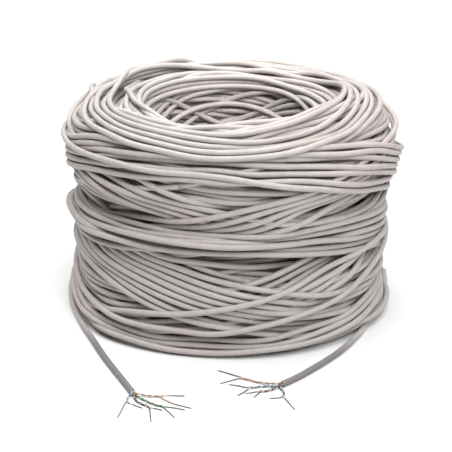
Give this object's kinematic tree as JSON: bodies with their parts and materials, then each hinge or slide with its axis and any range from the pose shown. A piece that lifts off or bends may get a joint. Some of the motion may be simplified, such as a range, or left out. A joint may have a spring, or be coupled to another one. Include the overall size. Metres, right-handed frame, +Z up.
{
  "type": "coil of four-pair network cable",
  "caption": "Free-standing machine-wound coil of round grey network cable with an open eye, both ends led out low at the front and stripped to fanned twisted pairs.",
  "frame": {"origin": "on the floor, on the axis of the coil's eye", "axes": "+Z up along the axis of the eye, -Y towards the two stripped cable ends, +X to the right seen from them"},
  "size_m": [0.3026, 0.4143, 0.19],
  "materials": {
    "sheath": "satin extruded PVC",
    "orange_insulation": "smooth extruded polyethylene",
    "white_orange_insulation": "white polyethylene with a thin orange stripe",
    "green_insulation": "smooth extruded polyethylene",
    "white_green_insulation": "white polyethylene with a thin green stripe",
    "blue_insulation": "smooth extruded polyethylene",
    "white_blue_insulation": "white polyethylene with a thin blue stripe",
    "brown_insulation": "smooth extruded polyethylene",
    "white_brown_insulation": "white polyethylene with a thin brown stripe",
    "conductor": "drawn wire, dull tinned grey"
  },
  "bodies": {
    "root": {"winding_layer_1": "sheath", "winding_layer_2": "sheath", "winding_layer_3": "sheath", "winding_layer_4": "sheath", "winding_layer_5": "sheath", "winding_layer_6": "sheath", "inner_end_sheath": "sheath", "outer_end_sheath": "sheath", "inner_end_orange_insulation": "orange_insulation", "inner_end_orange_conductor": "conductor", "inner_end_white_orange_insulation": "white_orange_insulation", "inner_end_white_orange_conductor": "conductor", "inner_end_green_insulation": "green_insulation", "inner_end_green_conductor": "conductor", "inner_end_white_green_insulation": "white_green_insulation", "inner_end_white_green_conductor": "conductor", "inner_end_blue_insulation": "blue_insulation", "inner_end_blue_conductor": "conductor", "inner_end_white_blue_insulation": "white_blue_insulation", "inner_end_white_blue_conductor": "conductor", "inner_end_brown_insulation": "brown_insulation", "inner_end_brown_conductor": "conductor", "inner_end_white_brown_insulation": "white_brown_insulation", "inner_end_white_brown_conductor": "conductor", "outer_end_orange_insulation": "orange_insulation", "outer_end_orange_conductor": "conductor", "outer_end_white_orange_insulation": "white_orange_insulation", "outer_end_white_orange_conductor": "conductor", "outer_end_blue_insulation": "blue_insulation", "outer_end_blue_conductor": "conductor", "outer_end_white_blue_insulation": "white_blue_insulation", "outer_end_white_blue_conductor": "conductor", "outer_end_brown_insulation": "brown_insulation", "outer_end_brown_conductor": "conductor", "outer_end_white_brown_insulation": "white_brown_insulation", "outer_end_white_brown_conductor": "conductor", "outer_end_green_insulation": "green_insulation", "outer_end_green_conductor": "conductor", "outer_end_white_green_insulation": "white_green_insulation", "outer_end_white_green_conductor": "conductor"}
  },
  "joints": []
}
